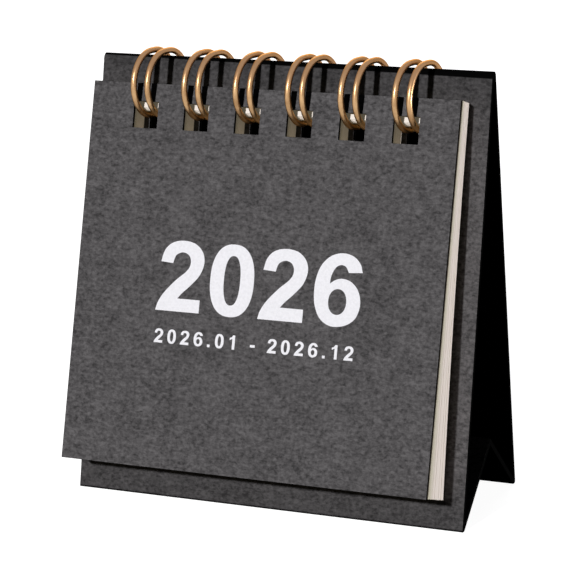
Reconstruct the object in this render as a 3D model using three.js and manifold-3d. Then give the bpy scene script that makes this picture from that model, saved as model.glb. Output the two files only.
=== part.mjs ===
// Standing desk calendar: a folded card easel that carries a page block and a front cover
// on six double wire loops. Millimetres, +Z up, X along the ridge, the cover faces -Y.

import * as THREE from 'three';
import { mergeVertices } from 'three/addons/utils/BufferGeometryUtils.js';
import Module from 'manifold-3d';

// Easel stand: one card folded at the ridge, the two feet and the crease of its base gusset
const STAND_WIDTH = 63.5;
const STAND_HEIGHT = 67.2;
const FOOT_DEPTH = 26.5;
const CARD_THICKNESS = 0.8;
const RIDGE_INNER_RADIUS = 0.1;
const FOLD_RADIUS = 0.4;
const FOOT_FLAT = 1.0;
const GUSSET_RISE = 9.9;
const RIDGE_SEGMENTS = 8;

// Pad: the front cover and the page block behind it, both hanging from the loops
const PAD_WIDTH = 59.6;
const PAD_LENGTH = 58.5;
const PAD_SHIFT = -1.22;
const PAD_SEAT_GAP = 0.35;
const COVER_THICKNESS = 0.6;
const COVER_GAP = 0.3;
const PAGES_TOP = 3.0;
const PAGES_MIDDLE = 4.45;
const PAGES_BOTTOM = 7.3;
const PAGES_SLIP = 0.45;
const PAGE_CURVE_STEPS = 10;

// Square punched holes, alike in the stand, the pages and the cover
const HOLE_SIZE = 4.1;
const HOLE_COUNT = 6;
const HOLE_PITCH = 8.467;
const HOLE_MARGIN = 2.8;
const HOLE_ROW_SHIFT = 0.52;
const HOLE_WIRE_GAP = 0.25;
const STAND_HOLE_SAG = 0.3;

// Binding wire: one comb of hairpins, closed into loops behind the stand
const WIRE_DIAMETER = 0.95;
const STRAND_SPACING = 2.3;
const LOOP_RADIUS = 5.0;
const LOOP_RISE = 1.05;
const LOOP_TOP_FLAT = 1.15;
const LOOP_BACK_GAP = 0.8;
const LOOP_CORNER_RADIUS = 1.5;
const LOOP_SKEW = 0.13;
const ROOT_BEND_RADIUS = 0.7;
const ROOT_STUB = 0.8;
const TIP_RUN = 0.1;
const TIP_GAP = 0.25;
const WIRE_SIDES = 8;
const LOOP_STEP = THREE.MathUtils.degToRad(18);
const BEND_STEP = THREE.MathUtils.degToRad(30);

const wasm = await Module();
wasm.setup();

// Closed geometry to a solid for cutting, and back
function toSolid(geometry) {
  const bare = geometry.clone();
  bare.deleteAttribute('normal');
  bare.deleteAttribute('uv');
  const merged = mergeVertices(bare, 1e-5);
  return new wasm.Manifold(new wasm.Mesh({
    numProp: 3,
    vertProperties: new Float32Array(merged.attributes.position.array),
    triVerts: new Uint32Array(merged.index.array),
  }));
}

function toGeometry(solid) {
  const mesh = solid.getMesh();
  const geometry = new THREE.BufferGeometry();
  geometry.setAttribute('position', new THREE.BufferAttribute(new Float32Array(mesh.vertProperties), 3));
  geometry.setIndex(new THREE.BufferAttribute(new Uint32Array(mesh.triVerts), 1));
  geometry.computeVertexNormals();
  return geometry;
}

function cut(geometry, cutters) {
  let solid = toSolid(geometry);
  for (const cutter of cutters) {
    solid = solid.subtract(toSolid(cutter));
  }
  return toGeometry(solid);
}

// A profile drawn in the Y-Z plane, drawn out along X about X = 0
function extrudeAlongX(profile, width, curveSegments) {
  const geometry = new THREE.ExtrudeGeometry(profile, { depth: width, bevelEnabled: false, curveSegments });
  const toYZX = new THREE.Matrix4().makeBasis(
    new THREE.Vector3(0, 1, 0),
    new THREE.Vector3(0, 0, 1),
    new THREE.Vector3(1, 0, 0),
  );
  geometry.applyMatrix4(toYZX);
  geometry.translate(-width / 2, 0, 0);
  return geometry;
}

function holeCentreX(index) {
  return (index - (HOLE_COUNT - 1) / 2) * HOLE_PITCH;
}

// Stand geometry that the other pieces are set against
const halfFoot = FOOT_DEPTH / 2;
const ridgeRadius = RIDGE_INNER_RADIUS + CARD_THICKNESS;
const ridgeCentreZ = STAND_HEIGHT - ridgeRadius;
const standLean =
  Math.atan(halfFoot / ridgeCentreZ) - Math.asin(ridgeRadius / Math.hypot(halfFoot, ridgeCentreZ));
const standUp = new THREE.Vector2(Math.sin(standLean), Math.cos(standLean));
const standOut = new THREE.Vector2(-Math.cos(standLean), Math.sin(standLean));

// Y of the back panel's outer face at a height; the front panel is its mirror image
function backFaceY(z) {
  return halfFoot - z * Math.tan(standLean);
}

// Loop geometry in the Y-Z plane: a front arc, a short flat over the ridge, a back arc
const wireRadius = WIRE_DIAMETER / 2;
const loopCentreZ = STAND_HEIGHT + LOOP_RISE - LOOP_RADIUS;
const loopBottomZ = loopCentreZ - LOOP_RADIUS;
const loopBackY = backFaceY(loopBottomZ + LOOP_CORNER_RADIUS) + LOOP_BACK_GAP + wireRadius;
const backArcCentreY = loopBackY - LOOP_RADIUS;
const loopCentre = new THREE.Vector2(backArcCentreY - LOOP_TOP_FLAT, loopCentreZ);

// Pad geometry: its two back corners keep the seat gap to the front panel, so its lean
// follows from how far the pages fan open towards the bottom
const pagesFront = COVER_THICKNESS + COVER_GAP;
const pagesLength = PAD_LENGTH + PAGES_SLIP;
const padLean = standLean + Math.atan((PAGES_BOTTOM - PAGES_TOP) / pagesLength);
const padUp = new THREE.Vector2(Math.sin(padLean), Math.cos(padLean));
const padOut = new THREE.Vector2(-Math.cos(padLean), Math.sin(padLean));

// The pad slides down its seat until the holes' top edges hang on the wire. Returns its top
// front edge as (y, z).
function hangPad() {
  const settleSteps = 20;
  let seatHeight = STAND_HEIGHT;
  let topFront = new THREE.Vector2();
  for (let step = 0; step < settleSteps; step += 1) {
    topFront = new THREE.Vector2(-halfFoot, 0)
      .addScaledVector(standUp, seatHeight)
      .addScaledVector(standOut, PAD_SEAT_GAP)
      .addScaledVector(padOut, pagesFront + PAGES_TOP);
    const toCentre = loopCentre.clone().sub(topFront);
    const standoff = -toCentre.dot(padOut);
    const reach = Math.sqrt(Math.max(LOOP_RADIUS ** 2 - standoff ** 2, wireRadius ** 2));
    const wireBelowTop = reach - toCentre.dot(padUp);
    const slantedRadius = (wireRadius * LOOP_RADIUS) / reach;
    seatHeight -= wireBelowTop - HOLE_MARGIN - HOLE_WIRE_GAP - slantedRadius;
  }
  return topFront;
}

const padTopFront = hangPad();
const padHoleY = -(HOLE_MARGIN + HOLE_SIZE / 2);

// The loops stand slightly askew: x shifts with y about the middle of the pad's holes
const skewCentreY =
  padTopFront.x + padUp.x * padHoleY - (padOut.x * (pagesFront + PAGES_TOP)) / 2;

function skewX(y) {
  return LOOP_SKEW * (y - skewCentreY);
}

const holeRowX = PAD_SHIFT + HOLE_ROW_SHIFT;

// Folded easel with its base gusset, glued into one loop of card
function easelStand() {
  const outline = new THREE.Shape();
  const flatInner = halfFoot - FOOT_FLAT;
  const foldStart = new THREE.Vector2(-halfFoot, 0).addScaledVector(standUp, FOLD_RADIUS);
  outline.absarc(0, ridgeCentreZ, ridgeRadius, Math.PI - standLean, standLean, true);
  outline.lineTo(-foldStart.x, foldStart.y);
  outline.quadraticCurveTo(halfFoot, 0, halfFoot - FOLD_RADIUS, 0);
  outline.lineTo(flatInner, 0);
  outline.lineTo(0, GUSSET_RISE);
  outline.lineTo(-flatInner, 0);
  outline.lineTo(-halfFoot + FOLD_RADIUS, 0);
  outline.quadraticCurveTo(-halfFoot, 0, foldStart.x, foldStart.y);

  const gussetSlope = GUSSET_RISE / flatInner;
  const gussetTopZ = GUSSET_RISE + CARD_THICKNESS * Math.hypot(1, gussetSlope);
  const innerFoot = halfFoot - CARD_THICKNESS / Math.cos(standLean);
  const cornerZ =
    (gussetTopZ - gussetSlope * innerFoot) / (1 - gussetSlope * Math.tan(standLean));
  const cornerY = innerFoot - cornerZ * Math.tan(standLean);
  const inside = new THREE.Shape();
  inside.absarc(0, ridgeCentreZ, RIDGE_INNER_RADIUS, Math.PI - standLean, standLean, true);
  inside.lineTo(cornerY, cornerZ);
  inside.lineTo(0, gussetTopZ);
  inside.lineTo(-cornerY, cornerZ);

  const cutters = [extrudeAlongX(inside, 2 * STAND_WIDTH, RIDGE_SEGMENTS)];
  const holeZ = loopBottomZ - STAND_HOLE_SAG;
  for (let index = 0; index < HOLE_COUNT; index += 1) {
    for (const side of [-1, 1]) {
      const punch = new THREE.BoxGeometry(HOLE_SIZE, 3 * CARD_THICKNESS, HOLE_SIZE);
      punch.translate(0, -side * CARD_THICKNESS / 2, 0);
      punch.rotateX(side * standLean);
      punch.translate(holeRowX + skewX(0) + holeCentreX(index), side * backFaceY(holeZ), holeZ);
      cutters.push(punch);
    }
  }
  return cut(extrudeAlongX(outline, STAND_WIDTH, RIDGE_SEGMENTS), cutters);
}

// Square punches through the whole pad, in the pad's frame: x across, y up the slope, z out
// of the cover's face
function padPunches() {
  const punches = [];
  for (let index = 0; index < HOLE_COUNT; index += 1) {
    const punch = new THREE.BoxGeometry(HOLE_SIZE, HOLE_SIZE, 4 * PAGES_BOTTOM);
    punch.translate(HOLE_ROW_SHIFT + holeCentreX(index), padHoleY, 0);
    punches.push(punch);
  }
  return punches;
}

function frontCover() {
  const sheet = new THREE.BoxGeometry(PAD_WIDTH, PAD_LENGTH, COVER_THICKNESS);
  sheet.translate(0, -PAD_LENGTH / 2, -COVER_THICKNESS / 2);
  return cut(sheet, padPunches());
}

// Thickness of the page block at a share u of the pad's length
function pagesThickness(u) {
  const bow = 2 * (PAGES_TOP + PAGES_BOTTOM - 2 * PAGES_MIDDLE);
  return PAGES_TOP + (PAGES_BOTTOM - PAGES_TOP - bow) * u + bow * u * u;
}

// Page block, fanned open towards the bottom, where the back pages hang a little lower
function pageBlock() {
  const profile = new THREE.Shape();
  profile.moveTo(0, -pagesFront);
  profile.lineTo(-PAD_LENGTH, -pagesFront);
  for (let step = PAGE_CURVE_STEPS; step >= 0; step -= 1) {
    const u = step / PAGE_CURVE_STEPS;
    profile.lineTo(-pagesLength * u, -pagesFront - pagesThickness(u));
  }
  return cut(extrudeAlongX(profile, PAD_WIDTH, 1), padPunches());
}

// A line of stations that a tube is drawn along, with one ring of the tube at each station
class WireLine extends THREE.Curve {
  constructor(stations) {
    super();
    this.stations = stations;
  }

  getUtoTmapping(u) {
    return u;
  }

  getPoint(t, target = new THREE.Vector3()) {
    const position = t * (this.stations.length - 1);
    const index = Math.min(Math.floor(position + 1e-6), this.stations.length - 2);
    return target.lerpVectors(this.stations[index], this.stations[index + 1], position - index);
  }

  getTangent(t, target = new THREE.Vector3()) {
    const last = this.stations.length - 1;
    const index = Math.round(t * last);
    target.set(0, 0, 0);
    for (const start of [index - 1, index]) {
      if (start >= 0 && start < last) {
        target.add(this.stations[start + 1].clone().sub(this.stations[start]).normalize());
      }
    }
    return target.normalize();
  }
}

// Points along an arc as Vector2, from one angle to another, both ends included
function arcPoints(centreX, centreY, radius, from, to, step) {
  const count = Math.max(1, Math.round(Math.abs(to - from) / step));
  const points = [];
  for (let index = 0; index <= count; index += 1) {
    const angle = from + ((to - from) * index) / count;
    points.push(new THREE.Vector2(centreX + radius * Math.cos(angle), centreY + radius * Math.sin(angle)));
  }
  return points;
}

// Heights of the seam behind the stand: the hairpin tips end just below the roots
const tipZ = loopBottomZ + LOOP_CORNER_RADIUS + TIP_RUN;
const rootZ = tipZ + STRAND_SPACING / 2 + WIRE_DIAMETER + TIP_GAP;

// One strand from its root, over the ridge and through the holes, to its tip, as (y, z)
function strandProfile() {
  const quarter = Math.PI / 2;
  return [
    ...arcPoints(backArcCentreY, loopCentreZ, LOOP_RADIUS, 0, quarter, LOOP_STEP),
    ...arcPoints(loopCentre.x, loopCentreZ, LOOP_RADIUS, quarter, 3 * quarter, LOOP_STEP),
    ...arcPoints(
      loopBackY - LOOP_CORNER_RADIUS,
      loopBottomZ + LOOP_CORNER_RADIUS,
      LOOP_CORNER_RADIUS,
      3 * quarter,
      4 * quarter,
      BEND_STEP,
    ),
  ];
}

// The bend from the seam line into a strand, or its tip, as (x, z) about the hairpin's middle
function rootBend() {
  return arcPoints(
    -STRAND_SPACING / 2 - ROOT_BEND_RADIUS,
    rootZ + ROOT_BEND_RADIUS,
    ROOT_BEND_RADIUS,
    -Math.PI / 2,
    0,
    BEND_STEP,
  );
}

function tipBend() {
  return arcPoints(0, tipZ, STRAND_SPACING / 2, Math.PI, 0, BEND_STEP);
}

function bindingWire() {
  const stations = [];
  const place = (x, y, z) => stations.push(new THREE.Vector3(x + skewX(y), y, z));
  const strand = strandProfile();
  const half = STRAND_SPACING / 2;
  const stubX = half + ROOT_BEND_RADIUS + ROOT_STUB;
  place(holeCentreX(0) - stubX, loopBackY, rootZ);
  for (let index = 0; index < HOLE_COUNT; index += 1) {
    const x = holeCentreX(index);
    rootBend().forEach((point) => place(x + point.x, loopBackY, point.y));
    strand.forEach((point) => place(x - half, point.x, point.y));
    tipBend().forEach((point) => place(x + point.x, loopBackY, point.y));
    strand.toReversed().forEach((point) => place(x + half, point.x, point.y));
    rootBend().toReversed().forEach((point) => place(x - point.x, loopBackY, point.y));
  }
  place(holeCentreX(HOLE_COUNT - 1) + stubX, loopBackY, rootZ);

  const fullTurn = 2 * Math.PI;
  const ring = arcPoints(0, 0, wireRadius, 0, fullTurn, fullTurn / WIRE_SIDES);
  const section = new THREE.Shape(ring.slice(0, -1));
  return new THREE.ExtrudeGeometry(section, {
    steps: stations.length - 1,
    extrudePath: new WireLine(stations),
    bevelEnabled: false,
  });
}

const darkCard = new THREE.MeshStandardMaterial({ color: 0x4e4c4e, roughness: 0.95, metalness: 0 });
const coverCard = new THREE.MeshStandardMaterial({ color: 0x525052, roughness: 0.95, metalness: 0 });
const creamPaper = new THREE.MeshStandardMaterial({ color: 0xd6ccbd, roughness: 0.9, metalness: 0 });
const bronzeWire = new THREE.MeshStandardMaterial({ color: 0xc08a4e, roughness: 0.3, metalness: 1 });

function part(name, geometry, material) {
  const mesh = new THREE.Mesh(geometry, material);
  mesh.name = name;
  return mesh;
}

const pad = new THREE.Group();
pad.position.set(PAD_SHIFT, padTopFront.x, padTopFront.y);
pad.rotation.x = Math.PI / 2 - padLean;
pad.add(part('front_cover', frontCover(), coverCard));
pad.add(part('page_block', pageBlock(), creamPaper));

const binding = new THREE.Group();
binding.position.x = holeRowX;
binding.add(part('binding_wire', bindingWire(), bronzeWire));

// The origin is at the middle of the whole object's footprint, on the surface it stands on
const calendar = new THREE.Group();
calendar.add(part('easel_stand', easelStand(), darkCard), pad, binding);
const bounds = new THREE.Box3().setFromObject(calendar, true);
calendar.position.y = -(bounds.min.y + bounds.max.y) / 2;

export default calendar;
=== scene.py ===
import math

import bpy
from mathutils import Matrix, Vector


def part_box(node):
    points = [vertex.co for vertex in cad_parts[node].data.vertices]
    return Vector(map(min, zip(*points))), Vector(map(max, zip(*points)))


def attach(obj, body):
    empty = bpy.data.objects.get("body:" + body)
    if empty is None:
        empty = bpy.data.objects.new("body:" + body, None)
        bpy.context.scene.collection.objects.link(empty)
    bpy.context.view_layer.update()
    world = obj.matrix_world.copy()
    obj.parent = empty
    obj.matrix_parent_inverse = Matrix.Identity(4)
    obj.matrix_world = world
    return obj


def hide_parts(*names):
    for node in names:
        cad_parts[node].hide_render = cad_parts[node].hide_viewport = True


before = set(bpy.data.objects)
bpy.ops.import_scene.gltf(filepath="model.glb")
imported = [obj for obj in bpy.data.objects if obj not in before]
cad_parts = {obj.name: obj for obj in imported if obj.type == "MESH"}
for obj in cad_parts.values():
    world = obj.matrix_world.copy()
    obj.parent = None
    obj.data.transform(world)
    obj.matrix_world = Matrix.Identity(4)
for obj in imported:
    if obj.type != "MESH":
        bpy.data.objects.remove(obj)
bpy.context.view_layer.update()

MM = 0.001

# Sizes repeated from the part's source, in millimetres
STAND_HEIGHT = 67.2
FOOT_DEPTH = 26.5
CARD_THICKNESS = 0.8
RIDGE_INNER_RADIUS = 0.1
PAD_WIDTH = 59.6
PAD_LENGTH = 58.5
PAD_SHIFT = -1.22
COVER_THICKNESS = 0.6
COVER_GAP = 0.3
PAGES_TOP = 3.0
PAGES_MIDDLE = 4.45
PAGES_BOTTOM = 7.3
PAGES_SLIP = 0.45
HOLE_SIZE = 4.1
HOLE_COUNT = 6
HOLE_PITCH = 8.467
HOLE_MARGIN = 2.8
HOLE_ROW_SHIFT = 0.52
WIRE_DIAMETER = 0.95
STRAND_SPACING = 2.3
LOOP_RADIUS = 5.0
LOOP_RISE = 1.05
LOOP_TOP_FLAT = 1.15
LOOP_BACK_GAP = 0.8
LOOP_CORNER_RADIUS = 1.5
LOOP_SKEW = 0.13
ROOT_BEND_RADIUS = 0.7
ROOT_STUB = 0.8
TIP_RUN = 0.1
TIP_GAP = 0.25

# The pad's frame: x across, y up the slope, z out of the cover's face, with its origin at
# the middle of the cover's top front edge
_, cover_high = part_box("front_cover")
stand_low, stand_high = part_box("easel_stand")
ridge_y = (stand_low.y + stand_high.y) / 2
half_foot = FOOT_DEPTH / 2
ridge_radius = RIDGE_INNER_RADIUS + CARD_THICKNESS
ridge_z = STAND_HEIGHT - ridge_radius
stand_lean = math.atan(half_foot / ridge_z) - math.asin(
    ridge_radius / math.hypot(half_foot, ridge_z)
)
pages_fan = math.atan((PAGES_BOTTOM - PAGES_TOP) / (PAD_LENGTH + PAGES_SLIP))
pad_lean = stand_lean + pages_fan
pad_up = Vector((0, math.sin(pad_lean), math.cos(pad_lean)))
pad_out = Vector((0, -math.cos(pad_lean), math.sin(pad_lean)))
pad_top = Vector((
    PAD_SHIFT * MM,
    cover_high.y - COVER_THICKNESS * MM * math.cos(pad_lean),
    cover_high.z,
))


def on_pad(x, y, z):
    """A point given in the pad's frame, in millimetres, as a point of the part in metres."""
    return pad_top + Vector((x * MM, 0, 0)) + pad_up * (y * MM) + pad_out * (z * MM)


# The loops in millimetres, seen along the ridge with y from the ridge, and the height and
# depth of their round front's middle in the pad's frame
wire_radius = WIRE_DIAMETER / 2
loop_centre_z = STAND_HEIGHT + LOOP_RISE - LOOP_RADIUS
loop_bottom_z = loop_centre_z - LOOP_RADIUS
corner_z = loop_bottom_z + LOOP_CORNER_RADIUS
loop_back_y = half_foot - corner_z * math.tan(stand_lean) + LOOP_BACK_GAP + wire_radius
back_centre_y = loop_back_y - LOOP_RADIUS
front_centre_y = back_centre_y - LOOP_TOP_FLAT
tip_z = corner_z + TIP_RUN
root_z = tip_z + STRAND_SPACING / 2 + WIRE_DIAMETER + TIP_GAP
to_loop = Vector((
    0,
    front_centre_y + ridge_y / MM - pad_top.y / MM,
    loop_centre_z - pad_top.z / MM,
))
loop_height = to_loop.dot(pad_up)
loop_depth = -to_loop.dot(pad_out)


# Camera at the photograph's viewpoint
CAMERA_PLACE = Vector((0.1415, -0.34292, 0.1206))
CAMERA_AZIMUTH = math.radians(22.40)
CAMERA_ELEVATION = math.radians(13.33)
CAMERA_ROLL = math.radians(-0.50)
FOCAL_PIXELS = 2481
IMAGE_PIXELS = 576
SENSOR_WIDTH = 36
CLIP_NEAR = 0.01
CLIP_FAR = 20


def look_axes(azimuth, elevation, roll):
    """The right, up and back directions of something that looks at the part."""
    back = Vector((
        math.sin(azimuth) * math.cos(elevation),
        -math.cos(azimuth) * math.cos(elevation),
        math.sin(elevation),
    ))
    level = Vector((math.cos(azimuth), math.sin(azimuth), 0))
    upright = back.cross(level)
    right = level * math.cos(roll) + upright * math.sin(roll)
    up = upright * math.cos(roll) - level * math.sin(roll)
    return right, up, back


def add_camera():
    data = bpy.data.cameras.new("camera")
    data.sensor_width = SENSOR_WIDTH
    data.lens = FOCAL_PIXELS * SENSOR_WIDTH / IMAGE_PIXELS
    data.clip_start = CLIP_NEAR
    data.clip_end = CLIP_FAR
    camera = bpy.data.objects.new("camera", data)
    bpy.context.scene.collection.objects.link(camera)
    right, up, back = look_axes(CAMERA_AZIMUTH, CAMERA_ELEVATION, CAMERA_ROLL)
    turn = Matrix((right, up, back)).transposed().to_4x4()
    camera.matrix_world = Matrix.Translation(CAMERA_PLACE) @ turn
    bpy.context.scene.camera = camera


add_camera()


# Materials
class Nodes:
    """A short way to write a node tree."""

    def __init__(self, tree):
        self.tree = tree

    def add(self, kind, settings=None, **inputs):
        node = self.tree.nodes.new(kind)
        for key, value in (settings or {}).items():
            setattr(node, key, value)
        for key, value in inputs.items():
            self.set(node, key, value)
        return node

    def set(self, node, key, value):
        """Sets or links an input that is named or, as in i0, numbered."""
        numbered = key[0] == "i" and key[1:].isdigit()
        socket = node.inputs[int(key[1:]) if numbered else key.replace("_", " ")]
        if isinstance(value, bpy.types.NodeSocket):
            self.tree.links.new(value, socket)
        else:
            socket.default_value = value

    def math(self, operation, a, b=0.0, c=0.0):
        node = self.add("ShaderNodeMath", {"operation": operation}, i0=a, i1=b, i2=c)
        return node.outputs[0]

    def mix(self, factor, a, b):
        node = self.add("ShaderNodeMix", {"data_type": "RGBA"}, i0=factor, i6=a, i7=b)
        return node.outputs[2]

    def noise(self, vector, scale, detail, roughness=0.5, distortion=0.0):
        node = self.add(
            "ShaderNodeTexNoise",
            Vector=vector,
            Scale=scale,
            Detail=detail,
            Roughness=roughness,
            Distortion=distortion,
        )
        return node.outputs["Fac"]

    def ramp(self, factor, low, high, to_low=0.0, to_high=1.0):
        """Runs from to_low to to_high while the factor runs from low to high."""
        node = self.add(
            "ShaderNodeMapRange", i0=factor, i1=low, i2=high, i3=to_low, i4=to_high
        )
        return node.outputs[0]

    def stretch(self, vector, scale):
        return self.add("ShaderNodeMapping", Vector=vector, Scale=scale).outputs[0]

    def split(self, vector):
        return self.add("ShaderNodeSeparateXYZ", Vector=vector).outputs

    def bump(self, strength, distance, height):
        node = self.add("ShaderNodeBump", Strength=strength, Distance=distance, Height=height)
        return node.outputs[0]


def rgba(colour):
    return (*colour, 1)


def shaded(colour, share):
    return [c * share for c in colour]


def new_material(name):
    material = bpy.data.materials.new(name)
    material.use_nodes = True
    nodes = Nodes(material.node_tree)
    shader = material.node_tree.nodes["Principled BSDF"]
    coords = nodes.add("ShaderNodeTexCoord").outputs["Object"]
    return material, nodes, shader, coords


FACE_COLOUR = (0.0912, 0.0868, 0.089)
# The card's black core, also used as painted shade on the stand
CORE_AND_SHADE_COLOUR = (0.002, 0.002, 0.002)
PAPER_COLOUR = (0.62, 0.56, 0.54)
PAPER_FACE = (0.82, 0.745, 0.69)
PAPER_SHADE = (0.33, 0.32, 0.25)
PAPER_FLECK = (0.8, 0.72, 0.6)
PAPER_STREAK = (0.42, 0.36, 0.3)
PAPER_GLOW = (0.5, 0.42, 0.28)
INK_COLOUR = (0.83, 0.82, 0.86)
WIRE_COLOUR = (0.5, 0.315, 0.16)
WIRE_DARK = (0.33, 0.19, 0.09)
WIRE_TOP_SHADE = (0.36, 0.205, 0.11)
WIRE_TINT = (0.55, 0.38, 0.26)

# Card: how much each noise counts, the sums at which it is darkest and lightest, how dark
# and light that is, and the grain's depth in millimetres
FIBRE_STRETCH = (1.0, 2.1, 2.1)
FLECK_WEIGHT = 0.75
FIBRE_WEIGHT = 0.95
CLOUD_WEIGHT = 0.25
TONE_START = 0.06
DARKEST_TONE = 0.82
LIGHTEST_TONE = 1.28
DARK_SHARE = 0.48
LIGHT_SHARE = 1.54
CARD_GRAIN = 0.04


def mottled_card(nodes, coords, colour):
    """Fibrous facing paper: flecks, soft clouds and short fibres, as a colour and a height."""
    stretched = nodes.stretch(coords, FIBRE_STRETCH)
    flecks = nodes.noise(coords, 1800.0, detail=3.0, roughness=0.62)
    fibres = nodes.noise(stretched, 950.0, detail=4.0, roughness=0.7, distortion=0.6)
    clouds = nodes.noise(coords, 260.0, detail=2.0)
    tone = nodes.math("MULTIPLY_ADD", flecks, FLECK_WEIGHT, TONE_START)
    tone = nodes.math("MULTIPLY_ADD", fibres, FIBRE_WEIGHT, tone)
    tone = nodes.math("MULTIPLY_ADD", clouds, CLOUD_WEIGHT, tone)
    lightness = nodes.ramp(tone, DARKEST_TONE, LIGHTEST_TONE)
    dark = rgba(shaded(colour, DARK_SHARE))
    light = rgba(shaded(colour, LIGHT_SHARE))
    return nodes.mix(lightness, dark, light), fibres


def finish_card(nodes, shader, colour, height):
    nodes.set(shader, "Base_Color", colour)
    nodes.set(shader, "Normal", nodes.bump(0.35, CARD_GRAIN * MM, height))
    shader.inputs["Roughness"].default_value = 0.92
    shader.inputs["Specular IOR Level"].default_value = 0.0


def facing_pad(nodes):
    """1 on faces turned straight out of the cover, -1 on their backs, 0 at their edges."""
    normal = nodes.add("ShaderNodeTexCoord").outputs["Normal"]
    dot = nodes.add(
        "ShaderNodeVectorMath", {"operation": "DOT_PRODUCT"}, i0=normal, i1=tuple(pad_out)
    )
    return dot.outputs["Value"]


def cover_card_material():
    """Mottled facing on the broad faces, the black core at the cut edges."""
    material, nodes, shader, coords = new_material("cover_card")
    colour, height = mottled_card(nodes, coords, FACE_COLOUR)
    face = nodes.ramp(nodes.math("ABSOLUTE", facing_pad(nodes)), 0.6, 0.9)
    colour = nodes.mix(face, rgba(CORE_AND_SHADE_COLOUR), colour)
    finish_card(nodes, shader, colour, height)
    return material


# Stand: black above a slightly tilted line along the ridge (painted shade) and below one at the
# feet, and darker towards both (painted shade). Heights in millimetres
STAND_SHADE = 0.87
RIDGE_LINE = 66.6
RIDGE_LINE_TILT = -0.012
RIDGE_LINE_BLUR = 0.06
FOOT_LINE_LOW = 0.2
FOOT_LINE_HIGH = 0.45
TOP_SHADE_START = 52
TOP_SHADE_END = 66
TOP_SHADE = 0.36
FOOT_SHADE_START = 9
FOOT_SHADE_END = 3
FOOT_SHADE = 0.24


def stand_card_material():
    """Mottled facing outside, the black core at the cut edges and inside (there also painted
    shade), and painted shade in black along the ridge.
    """
    material, nodes, shader, coords = new_material("stand_card")
    colour, height = mottled_card(nodes, coords, shaded(FACE_COLOUR, STAND_SHADE))
    normal = nodes.split(nodes.add("ShaderNodeTexCoord").outputs["Normal"])
    place = nodes.split(coords)
    # Painted shade: darker towards the ridge and towards the feet
    painted_shade = nodes.ramp(place[2], TOP_SHADE_START * MM, TOP_SHADE_END * MM, 0.0, TOP_SHADE)
    low_shade = nodes.ramp(place[2], FOOT_SHADE_START * MM, FOOT_SHADE_END * MM, 0.0, FOOT_SHADE)
    painted_shade = nodes.math("ADD", painted_shade, low_shade)
    colour = nodes.mix(painted_shade, colour, rgba(CORE_AND_SHADE_COLOUR))
    face = nodes.ramp(nodes.math("ABSOLUTE", normal[0]), 0.8, 0.4)
    # Painted shade: black above a tilted line along the ridge
    line = nodes.math("MULTIPLY_ADD", place[0], RIDGE_LINE_TILT, RIDGE_LINE * MM)
    above = nodes.math("SUBTRACT", place[2], line)
    below_line = nodes.ramp(above, RIDGE_LINE_BLUR * MM, -RIDGE_LINE_BLUR * MM)
    face = nodes.math("MULTIPLY", face, below_line)
    off_ground = nodes.ramp(place[2], FOOT_LINE_LOW * MM, FOOT_LINE_HIGH * MM)
    face = nodes.math("MULTIPLY", face, off_ground)
    # Inside faces black: the card's core, also painted shade of the stand's inside
    offset = nodes.math("SUBTRACT", place[1], ridge_y)
    outward = nodes.math("MULTIPLY", normal[1], nodes.math("SIGN", offset))
    face = nodes.math("MULTIPLY", face, nodes.ramp(outward, -0.1, 0.1))
    colour = nodes.mix(face, rgba(CORE_AND_SHADE_COLOUR), colour)
    finish_card(nodes, shader, colour, height)
    return material


# Pages: the streaks run down the slope, the grain's depth is in millimetres, and a weak
# glow stands for light soaking through
STREAK_STRETCH = (1.0, 1.0, 0.06)
SHADE_START = 0.02
SHADE_END = 0.36
PAGE_GRAIN = 0.02
GLOW_STRENGTH = 0.17


def page_material():
    """Cream sheets: their edges are greyer near the cover as painted shade, their broad faces
    are paler.
    """
    material, nodes, shader, coords = new_material("page_paper")
    share = nodes.add("ShaderNodeAttribute", {"attribute_name": "share"}).outputs["Fac"]
    flecks = nodes.noise(coords, 3000.0, detail=3.0, roughness=0.6)
    streaks = nodes.noise(nodes.stretch(coords, STREAK_STRETCH), 5200.0, detail=2.0)
    # Painted shade: sheet edges greyer near the cover
    tone = nodes.ramp(share, SHADE_START, SHADE_END)
    colour = nodes.mix(tone, rgba(PAPER_SHADE), rgba(PAPER_COLOUR))
    fleck_share = nodes.ramp(flecks, 0.3, 0.7, 0.0, 0.1)
    colour = nodes.mix(fleck_share, colour, rgba(PAPER_FLECK))
    streak_share = nodes.ramp(streaks, 0.35, 0.65, 0.1, 0.0)
    colour = nodes.mix(streak_share, colour, rgba(PAPER_STREAK))
    facing = nodes.math("ABSOLUTE", facing_pad(nodes))
    colour = nodes.mix(nodes.ramp(facing, 0.8, 0.9), colour, rgba(PAPER_FACE))
    nodes.set(shader, "Base_Color", colour)
    nodes.set(shader, "Normal", nodes.bump(0.2, PAGE_GRAIN * MM, flecks))
    shader.inputs["Roughness"].default_value = 0.85
    shader.inputs["Specular IOR Level"].default_value = 0.25
    shader.inputs["Emission Color"].default_value = rgba(PAPER_GLOW)
    shader.inputs["Emission Strength"].default_value = GLOW_STRENGTH
    return material


INK_GRAIN_SHARE = 0.9


def ink_material():
    """Pale ink that lets a little of the card's grain through."""
    material, nodes, shader, coords = new_material("pale_ink")
    grain = nodes.ramp(nodes.noise(coords, 2600.0, detail=3.0, roughness=0.6), 0.35, 0.7)
    colour = nodes.mix(grain, rgba(INK_COLOUR), rgba(shaded(INK_COLOUR, INK_GRAIN_SHARE)))
    nodes.set(shader, "Base_Color", colour)
    shader.inputs["Roughness"].default_value = 0.6
    return material


# Wire: redder and darker towards the top of the loops, as painted shade. Heights and grain in
# millimetres
WIRE_SHADE_START = 63.5
WIRE_SHADE_END = 67
WIRE_SHADE = 0.85
PATCH_WEIGHT = 2.5
WIRE_GRAIN = 0.04


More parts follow.
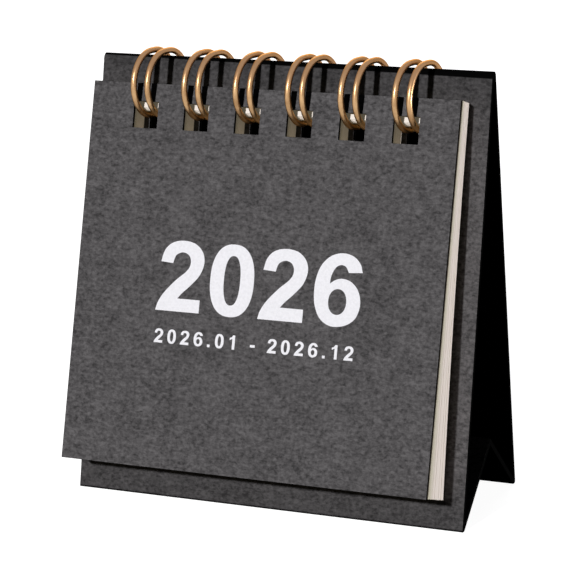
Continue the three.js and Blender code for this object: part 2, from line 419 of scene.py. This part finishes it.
def wire_material():
    """Bronze-coloured coat with faint drawing marks, duller patches and painted shade at the
    top.
    """
    material, nodes, shader, coords = new_material("binding_wire")
    patches = nodes.noise(coords, 420.0, detail=3.0, roughness=0.6)
    marks = nodes.noise(coords, 4200.0, detail=2.0)
    colour = nodes.mix(nodes.ramp(patches, 0.35, 0.65), rgba(WIRE_DARK), rgba(WIRE_COLOUR))
    height = nodes.split(coords)[2]
    # Painted shade: redder and darker towards the top of the loops
    loop_top_shade = nodes.ramp(height, WIRE_SHADE_START * MM, WIRE_SHADE_END * MM, 0.0, WIRE_SHADE)
    nodes.set(shader, "Base_Color", nodes.mix(loop_top_shade, colour, rgba(WIRE_TOP_SHADE)))
    nodes.set(shader, "Roughness", nodes.ramp(patches, 0.3, 0.7, 0.38, 0.28))
    dents = nodes.math("MULTIPLY_ADD", patches, PATCH_WEIGHT, marks)
    nodes.set(shader, "Normal", nodes.bump(0.3, WIRE_GRAIN * MM, dents))
    shader.inputs["Metallic"].default_value = 1.0
    shader.inputs["Specular Tint"].default_value = rgba(WIRE_TINT)
    return material


# The easel and the cover: the frame's own pieces with soft edges
STAND_EDGE = 0.09
COVER_EDGE = 0.06
WELD_REACH = 1e-6
SHARP_ANGLE = math.radians(35)


def soften(node, material, width):
    """Joins the node's split vertices, softens its sharp edges and gives it a material."""
    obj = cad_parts[node]
    obj.data.materials.clear()
    obj.data.materials.append(material)
    weld = obj.modifiers.new("weld", "WELD")
    weld.merge_threshold = WELD_REACH
    bevel = obj.modifiers.new("soft_edges", "BEVEL")
    bevel.width = width * MM
    bevel.segments = 2
    bevel.limit_method = "ANGLE"
    bevel.angle_limit = SHARP_ANGLE
    bevel.harden_normals = True


soften("easel_stand", stand_card_material(), STAND_EDGE)
soften("front_cover", cover_card_material(), COVER_EDGE)


def add_mesh(name, vertices, faces, material, smooth=False):
    mesh = bpy.data.meshes.new(name)
    mesh.from_pydata(vertices, [], faces)
    mesh.materials.append(material)
    mesh.polygons.foreach_set("use_smooth", [smooth] * len(faces))
    mesh.update()
    obj = bpy.data.objects.new(name, mesh)
    bpy.context.scene.collection.objects.link(obj)
    return obj


# Month pages: fanned sheets with square holes and thin lines of air between them. A sheet's
# jitter, in shares of the two reaches, draws in one side and its bottom edge
SHEET_COUNT = 12
SHEET_INSET = 0.02
SIDE_JITTER = 0.35
BOTTOM_JITTER = 0.4
SHEET_FILL = 0.96
SLOPE_STEPS = 14
SHEET_WIRE_GAP = 0.08
SHEET_JITTER = (0.0, 0.12, -0.05, 0.08, -0.1, 0.04, 0.1, -0.06, 0.02, -0.12, 0.07, -0.03)


def pages_thickness(u):
    """Thickness of the stack at a share of the way down: a bowed line through three sizes."""
    bow = 2 * (PAGES_TOP + PAGES_BOTTOM - 2 * PAGES_MIDDLE)
    return PAGES_TOP + (PAGES_BOTTOM - PAGES_TOP - bow) * u + bow * u * u


def sheet_hole_top(depth):
    """Height of a sheet's hole top at a depth in the pad: it hangs on the round loops."""
    reach = math.sqrt(LOOP_RADIUS ** 2 - (loop_depth - depth) ** 2)
    return loop_height - reach + wire_radius * LOOP_RADIUS / reach + SHEET_WIRE_GAP


def hole_edges():
    edges = []
    for index in range(HOLE_COUNT):
        middle = HOLE_ROW_SHIFT + (index - (HOLE_COUNT - 1) / 2) * HOLE_PITCH
        edges += [middle - HOLE_SIZE / 2, middle + HOLE_SIZE / 2]
    return edges


def sheet_mesh(columns, rows, is_hole, near, far):
    """A plate over a grid of columns and rows, open at the holes, between two depths that
    follow the share of the way down."""
    vertices = []
    index_of = {}
    for side, depth in enumerate((near, far)):
        for i, x in enumerate(columns):
            for j, y in enumerate(rows):
                index_of[side, i, j] = len(vertices)
                vertices.append(on_pad(x, y, -depth(y / rows[-1])))
    faces = []
    solid = {
        (i, j)
        for i in range(len(columns) - 1)
        for j in range(len(rows) - 1)
        if not is_hole(i, j)
    }
    for i, j in sorted(solid):
        corners = [(i, j), (i, j + 1), (i + 1, j + 1), (i + 1, j)]
        faces.append([index_of[0, *c] for c in corners])
        faces.append([index_of[1, *c] for c in reversed(corners)])
        around = [(i - 1, j), (i, j + 1), (i + 1, j), (i, j - 1)]
        for side, neighbour in enumerate(around):
            if neighbour not in solid:
                a, b = corners[side], corners[(side + 1) % 4]
                near_edge = [index_of[0, *b], index_of[0, *a]]
                far_edge = [index_of[1, *a], index_of[1, *b]]
                faces.append(near_edge + far_edge)
    return vertices, faces


def add_pages():
    half = PAD_WIDTH / 2 - SHEET_INSET
    edges = hole_edges()
    hole_end = -HOLE_MARGIN - HOLE_SIZE
    start = COVER_THICKNESS + COVER_GAP
    vertices, faces, shares = [], [], []
    for sheet in range(SHEET_COUNT):
        shift = SHEET_JITTER[sheet] * SIDE_JITTER
        near_share = sheet / SHEET_COUNT
        far_share = (sheet + SHEET_FILL) / SHEET_COUNT
        columns = [-half + max(0, shift), *edges, half + min(0, shift)]
        bottom = SHEET_INSET - PAD_LENGTH - PAGES_SLIP * near_share
        bottom += abs(SHEET_JITTER[sheet]) * BOTTOM_JITTER
        hole_top = sheet_hole_top(start + PAGES_TOP * far_share)
        rows = [-SHEET_INSET, min(hole_top, -HOLE_MARGIN)]
        rows += [
            hole_end + (bottom - hole_end) * step / SLOPE_STEPS
            for step in range(SLOPE_STEPS + 1)
        ]
        points, quads = sheet_mesh(
            columns,
            rows,
            lambda i, j: j == 1 and i % 2 == 1,
            lambda u: start + pages_thickness(u) * near_share,
            lambda u: start + pages_thickness(u) * far_share,
        )
        offset = len(vertices)
        vertices += points
        faces += [[offset + corner for corner in quad] for quad in quads]
        shares += [(near_share + far_share) / 2] * len(points)
    obj = add_mesh("month_pages", vertices, faces, page_material())
    share = obj.data.attributes.new("share", "FLOAT", "POINT")
    share.data.foreach_set("value", shares)
    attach(obj, "stand")
    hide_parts("page_block")


add_pages()


# Binding wire: the same path as in the part's source, drawn finer
ARC_STEP = math.radians(5)
TURN_STEP = math.radians(12)
WIRE_SIDES = 20
SAME_POINT = 1e-7

hole_depth = (COVER_THICKNESS + COVER_GAP + PAGES_TOP) / 2
hole_middle = pad_up * (-(HOLE_MARGIN + HOLE_SIZE / 2)) - pad_out * hole_depth
skew_centre_y = (pad_top.y - ridge_y) / MM + hole_middle.y


def arc(centre, radius, start, end, step):
    """Points along an arc between two angles, both ends included."""
    count = max(1, round(abs(end - start) / step))
    return [
        (
            centre[0] + radius * math.cos(start + (end - start) * index / count),
            centre[1] + radius * math.sin(start + (end - start) * index / count),
        )
        for index in range(count + 1)
    ]


def wire_path():
    """The comb's middle line: six hairpins, each over the top, round the front and back."""
    quarter = math.pi / 2
    half = STRAND_SPACING / 2
    corner_y = loop_back_y - LOOP_CORNER_RADIUS
    strand = [
        *arc((back_centre_y, loop_centre_z), LOOP_RADIUS, 0, quarter, ARC_STEP),
        *arc((front_centre_y, loop_centre_z), LOOP_RADIUS, quarter, 3 * quarter, ARC_STEP),
        *arc((corner_y, corner_z), LOOP_CORNER_RADIUS, 3 * quarter, 4 * quarter, TURN_STEP),
    ]
    root_centre = (-half - ROOT_BEND_RADIUS, root_z + ROOT_BEND_RADIUS)
    root = arc(root_centre, ROOT_BEND_RADIUS, -quarter, 0, TURN_STEP)
    tip = arc((0, tip_z), half, math.pi, 0, TURN_STEP)
    path = []

    def place(x, y, z):
        skewed = x + LOOP_SKEW * (y - skew_centre_y) + PAD_SHIFT + HOLE_ROW_SHIFT
        path.append(Vector((skewed * MM, y * MM + ridge_y, z * MM)))

    stub = half + ROOT_BEND_RADIUS + ROOT_STUB
    middles = [(index - (HOLE_COUNT - 1) / 2) * HOLE_PITCH for index in range(HOLE_COUNT)]
    place(middles[0] - stub, loop_back_y, root_z)
    for middle in middles:
        for x, z in root:
            place(middle + x, loop_back_y, z)
        for y, z in strand:
            place(middle - half, y, z)
        for x, z in tip:
            place(middle + x, loop_back_y, z)
        for y, z in reversed(strand):
            place(middle + half, y, z)
        for x, z in reversed(root):
            place(middle - x, loop_back_y, z)
    place(middles[-1] + stub, loop_back_y, root_z)
    return [p for k, p in enumerate(path) if k == 0 or (p - path[k - 1]).length > SAME_POINT]


def sweep(path, radius, sides):
    """A round tube along a path, its section carried along without twist."""
    tangents = []
    for k in range(len(path)):
        before = path[max(k - 1, 0)]
        after = path[min(k + 1, len(path) - 1)]
        tangents.append((after - before).normalized())
    across = tangents[0].orthogonal().normalized()
    vertices = []
    for point, tangent in zip(path, tangents):
        across = (across - tangent * across.dot(tangent)).normalized()
        other = tangent.cross(across)
        for side in range(sides):
            angle = 2 * math.pi * side / sides
            corner = point + across * (radius * math.cos(angle))
            vertices.append(corner + other * (radius * math.sin(angle)))
    faces = []
    for ring in range(len(path) - 1):
        for side in range(sides):
            a = ring * sides + side
            b = ring * sides + (side + 1) % sides
            faces.append([a, b, b + sides, a + sides])
    last = (len(path) - 1) * sides
    faces.append(list(reversed(range(sides))))
    faces.append([last + side for side in range(sides)])
    return vertices, faces


def add_wire():
    vertices, faces = sweep(wire_path(), wire_radius * MM, WIRE_SIDES)
    obj = add_mesh("wire_comb", vertices, faces, wire_material(), smooth=True)
    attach(obj, "stand")
    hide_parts("binding_wire")


add_wire()


# Plain numerals on the cover. Each outline is a list of runs that meet at corners, in
# shares of the numeral's height. The sizes and places below are in millimetres
INK_THICKNESS = 0.02
INK_LIFT = 0.012
YEAR_HEIGHT = 10.8
YEAR_LEFT = -16.13
YEAR_BASELINE = -34.48
YEAR_ADVANCES = dict.fromkeys("026", 0.782)
LINE_HEIGHT = 2.15
LINE_LEFT = -15.92
LINE_BASELINE = -39.42
LINE_ADVANCES = {**dict.fromkeys("0126", 1.015), ".": 0.64, "-": 0.815, " ": 0.575}


def rounded(cx, cy, half_width, half_height, power=2.35, steps=48):
    """A closed oval with fuller sides than an ellipse."""
    points = []
    for index in range(steps):
        angle = 2 * math.pi * index / steps
        c, s = math.cos(angle), math.sin(angle)
        points.append((
            cx + half_width * math.copysign(abs(c) ** (2 / power), c),
            cy + half_height * math.copysign(abs(s) ** (2 / power), s),
        ))
    return points


def smooth_run(points, steps=7):
    """Points along a Catmull-Rom curve through the given ones, the last one left out."""
    if len(points) < 3:
        return points[:-1]
    first = (2 * points[0][0] - points[1][0], 2 * points[0][1] - points[1][1])
    last = (2 * points[-1][0] - points[-2][0], 2 * points[-1][1] - points[-2][1])
    padded = [first, *points, last]
    made = []
    for k in range(1, len(padded) - 2):
        p0, p1, p2, p3 = padded[k - 1:k + 3]
        for step in range(steps):
            t = step / steps
            made.append(tuple(
                0.5 * (
                    2 * p1[n]
                    + (p2[n] - p0[n]) * t
                    + (2 * p0[n] - 5 * p1[n] + 4 * p2[n] - p3[n]) * t ** 2
                    + (3 * p1[n] - p0[n] - 3 * p2[n] + p3[n]) * t ** 3
                )
                for n in (0, 1)
            ))
    return made


def outline(*runs):
    """Joins runs of points into one closed outline."""
    points = []
    for run in runs:
        points += smooth_run(run)
    return points


TWO = [outline(
    [(0.0, 0.0), (0.672, 0.0)],
    [(0.672, 0.0), (0.672, 0.184)],
    [(0.672, 0.184), (0.325, 0.184)],
    [(0.325, 0.184), (0.391, 0.262), (0.522, 0.391), (0.64, 0.535), (0.694, 0.71),
     (0.655, 0.865), (0.53, 0.972), (0.355, 1.002), (0.185, 0.962), (0.075, 0.852),
     (0.03, 0.69)],
    [(0.03, 0.69), (0.215, 0.676)],
    [(0.215, 0.676), (0.255, 0.79), (0.355, 0.838), (0.452, 0.80), (0.487, 0.70), (0.44, 0.585),
     (0.27, 0.43), (0.11, 0.25), (0.03, 0.11), (0.0, 0.0)],
)]
ZERO = [rounded(0.355, 0.497, 0.332, 0.509), rounded(0.355, 0.497, 0.124, 0.347)]
SIX = [
    outline(
        [(0.715, 0.755), (0.675, 0.87), (0.57, 0.968), (0.41, 1.004), (0.24, 0.955),
         (0.11, 0.825), (0.045, 0.65), (0.028, 0.47), (0.05, 0.27), (0.13, 0.1),
         (0.25, 0.01), (0.38, -0.012), (0.54, 0.025), (0.665, 0.13), (0.718, 0.31),
         (0.68, 0.49), (0.575, 0.61), (0.44, 0.654), (0.33, 0.63), (0.25, 0.575)],
        [(0.25, 0.575), (0.262, 0.68), (0.315, 0.795), (0.39, 0.84), (0.465, 0.82),
         (0.515, 0.74)],
        [(0.515, 0.74), (0.715, 0.755)],
    ),
    rounded(0.38, 0.331, 0.133, 0.178, 2.1),
]
ONE = [outline(
    [(0.32, 0.0), (0.52, 0.0)],
    [(0.52, 0.0), (0.52, 1.0)],
    [(0.52, 1.0), (0.355, 1.0)],
    [(0.355, 1.0), (0.27, 0.87), (0.11, 0.79)],
    [(0.11, 0.79), (0.11, 0.64)],
    [(0.11, 0.64), (0.32, 0.745)],
    [(0.32, 0.745), (0.32, 0.0)],
)]
DOT = [outline(
    [(0.08, 0.0), (0.28, 0.0)], [(0.28, 0.0), (0.28, 0.19)],
    [(0.28, 0.19), (0.08, 0.19)], [(0.08, 0.19), (0.08, 0.0)],
)]
DASH = [outline(
    [(0.1, 0.27), (0.46, 0.27)], [(0.46, 0.27), (0.46, 0.45)],
    [(0.46, 0.45), (0.1, 0.45)], [(0.1, 0.45), (0.1, 0.27)],
)]
GLYPHS = {"2": TWO, "0": ZERO, "6": SIX, "1": ONE, ".": DOT, "-": DASH, " ": []}


def add_numerals(name, text, height, left, baseline, advances, material):
    """Thin printed numerals on the cover, placed by their left end and baseline."""
    curve = bpy.data.curves.new(name, "CURVE")
    curve.dimensions = "2D"
    curve.fill_mode = "BOTH"
    curve.extrude = 0.5 * INK_THICKNESS * MM
    x = left
    for character in text:
        for points in GLYPHS[character]:
            spline = curve.splines.new("POLY")
            spline.points.add(len(points) - 1)
            for point, (u, v) in zip(spline.points, points):
                point.co = ((x + u * height) * MM, (baseline + v * height) * MM, 0, 1)
            spline.use_cyclic_u = True
        x += advances[character] * height
    helper = bpy.data.objects.new(name, curve)
    bpy.context.scene.collection.objects.link(helper)
    bpy.context.view_layer.update()
    evaluated = helper.evaluated_get(bpy.context.evaluated_depsgraph_get())
    mesh = bpy.data.meshes.new_from_object(evaluated)
    bpy.data.objects.remove(helper)
    bpy.data.curves.remove(curve)
    across = Vector((1, 0, 0))
    turn = Matrix((across, pad_up, pad_out)).transposed().to_4x4()
    lift = pad_out * (INK_LIFT * MM)
    mesh.transform(Matrix.Translation(pad_top + lift) @ turn)
    mesh.materials.clear()
    mesh.materials.append(material)
    obj = bpy.data.objects.new(name, mesh)
    bpy.context.scene.collection.objects.link(obj)
    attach(obj, "cover")


ink = ink_material()
add_numerals("year_numerals", "2026", YEAR_HEIGHT, YEAR_LEFT, YEAR_BASELINE, YEAR_ADVANCES, ink)
add_numerals(
    "range_numerals",
    "2026.01 - 2026.12",
    LINE_HEIGHT,
    LINE_LEFT,
    LINE_BASELINE,
    LINE_ADVANCES,
    ink,
)


# Surroundings: a floor and a world that are white where they are seen, and throw almost no
# light back on the calendar
FLOOR_HALF = 3.0
FLOOR_BOUNCE = 0.05
FLOOR_SHADE = 0.5
FLOOR_GLOW = 0.95
WORLD_BOUNCE = 0.01


def seen_directly(nodes):
    """1 for what is seen, also in metal and through glass, 0 for light on matt faces."""
    path = nodes.add("ShaderNodeLightPath").outputs
    seen = nodes.math("MAXIMUM", path["Is Camera Ray"], path["Is Glossy Ray"])
    seen = nodes.math("MAXIMUM", seen, path["Is Transmission Ray"])
    return nodes.math("MULTIPLY", seen, nodes.math("LESS_THAN", path["Diffuse Depth"], 0.5))


def floor_material():
    """White to the camera, but for the calendar's faint shadow."""
    material = bpy.data.materials.new("floor")
    material.use_nodes = True
    nodes = Nodes(material.node_tree)
    material.node_tree.nodes.remove(material.node_tree.nodes["Principled BSDF"])
    output = material.node_tree.nodes["Material Output"]
    seen = seen_directly(nodes)
    plain = nodes.add("ShaderNodeBsdfDiffuse", Color=rgba([FLOOR_BOUNCE] * 3))
    pale = nodes.add("ShaderNodeBsdfDiffuse", Color=rgba([FLOOR_SHADE] * 3))
    glow = nodes.add("ShaderNodeEmission", Color=rgba((1, 1, 1)), Strength=FLOOR_GLOW)
    white = nodes.add("ShaderNodeAddShader", i0=pale.outputs[0], i1=glow.outputs[0])
    mixed = nodes.add("ShaderNodeMixShader", i0=seen, i1=plain.outputs[0], i2=white.outputs[0])
    nodes.set(output, "Surface", mixed.outputs[0])
    return material


def add_floor():
    half = FLOOR_HALF
    corners = [(-half, -half, 0), (half, -half, 0), (half, half, 0), (-half, half, 0)]
    add_mesh("floor", [Vector(c) for c in corners], [[0, 1, 2, 3]], floor_material())


add_floor()


# Light: a small key lamp at the upper left, one lamp level with the page edges at the
# right, and one behind
LIGHT_TARGET = Vector((0, 0, 0.035))


def add_lamp(name, azimuth, elevation, distance, size, level):
    """A round lamp. Level 1 renders a matt face turned to it about as its colour is written."""
    data = bpy.data.lights.new(name, "AREA")
    data.shape = "DISK"
    data.size = size
    data.energy = level * math.pi ** 2 * distance ** 2
    _, _, back = look_axes(math.radians(azimuth), math.radians(elevation), 0)
    obj = bpy.data.objects.new(name, data)
    obj.location = LIGHT_TARGET + back * distance
    obj.rotation_euler = back.to_track_quat("Z", "Y").to_euler()
    bpy.context.scene.collection.objects.link(obj)


def add_world():
    world = bpy.data.worlds.new("studio")
    bpy.context.scene.world = world
    world.use_nodes = True
    nodes = Nodes(world.node_tree)
    background = world.node_tree.nodes["Background"]
    seen = seen_directly(nodes)
    nodes.set(background, "Color", rgba((1, 1, 1)))
    nodes.set(background, "Strength", nodes.ramp(seen, 0.0, 1.0, WORLD_BOUNCE, 1.0))


add_lamp("key_lamp", azimuth=-8.2, elevation=21.5, distance=1.5, size=0.07, level=1.0)
add_lamp("side_lamp", azimuth=93.0, elevation=0.5, distance=1.5, size=0.1, level=0.9)
add_lamp("back_lamp", azimuth=200.0, elevation=24.0, distance=1.5, size=1.4, level=0.65)
add_world()

bpy.context.scene.view_settings.view_transform = "Standard"
bpy.context.scene.cycles.caustics_reflective = False
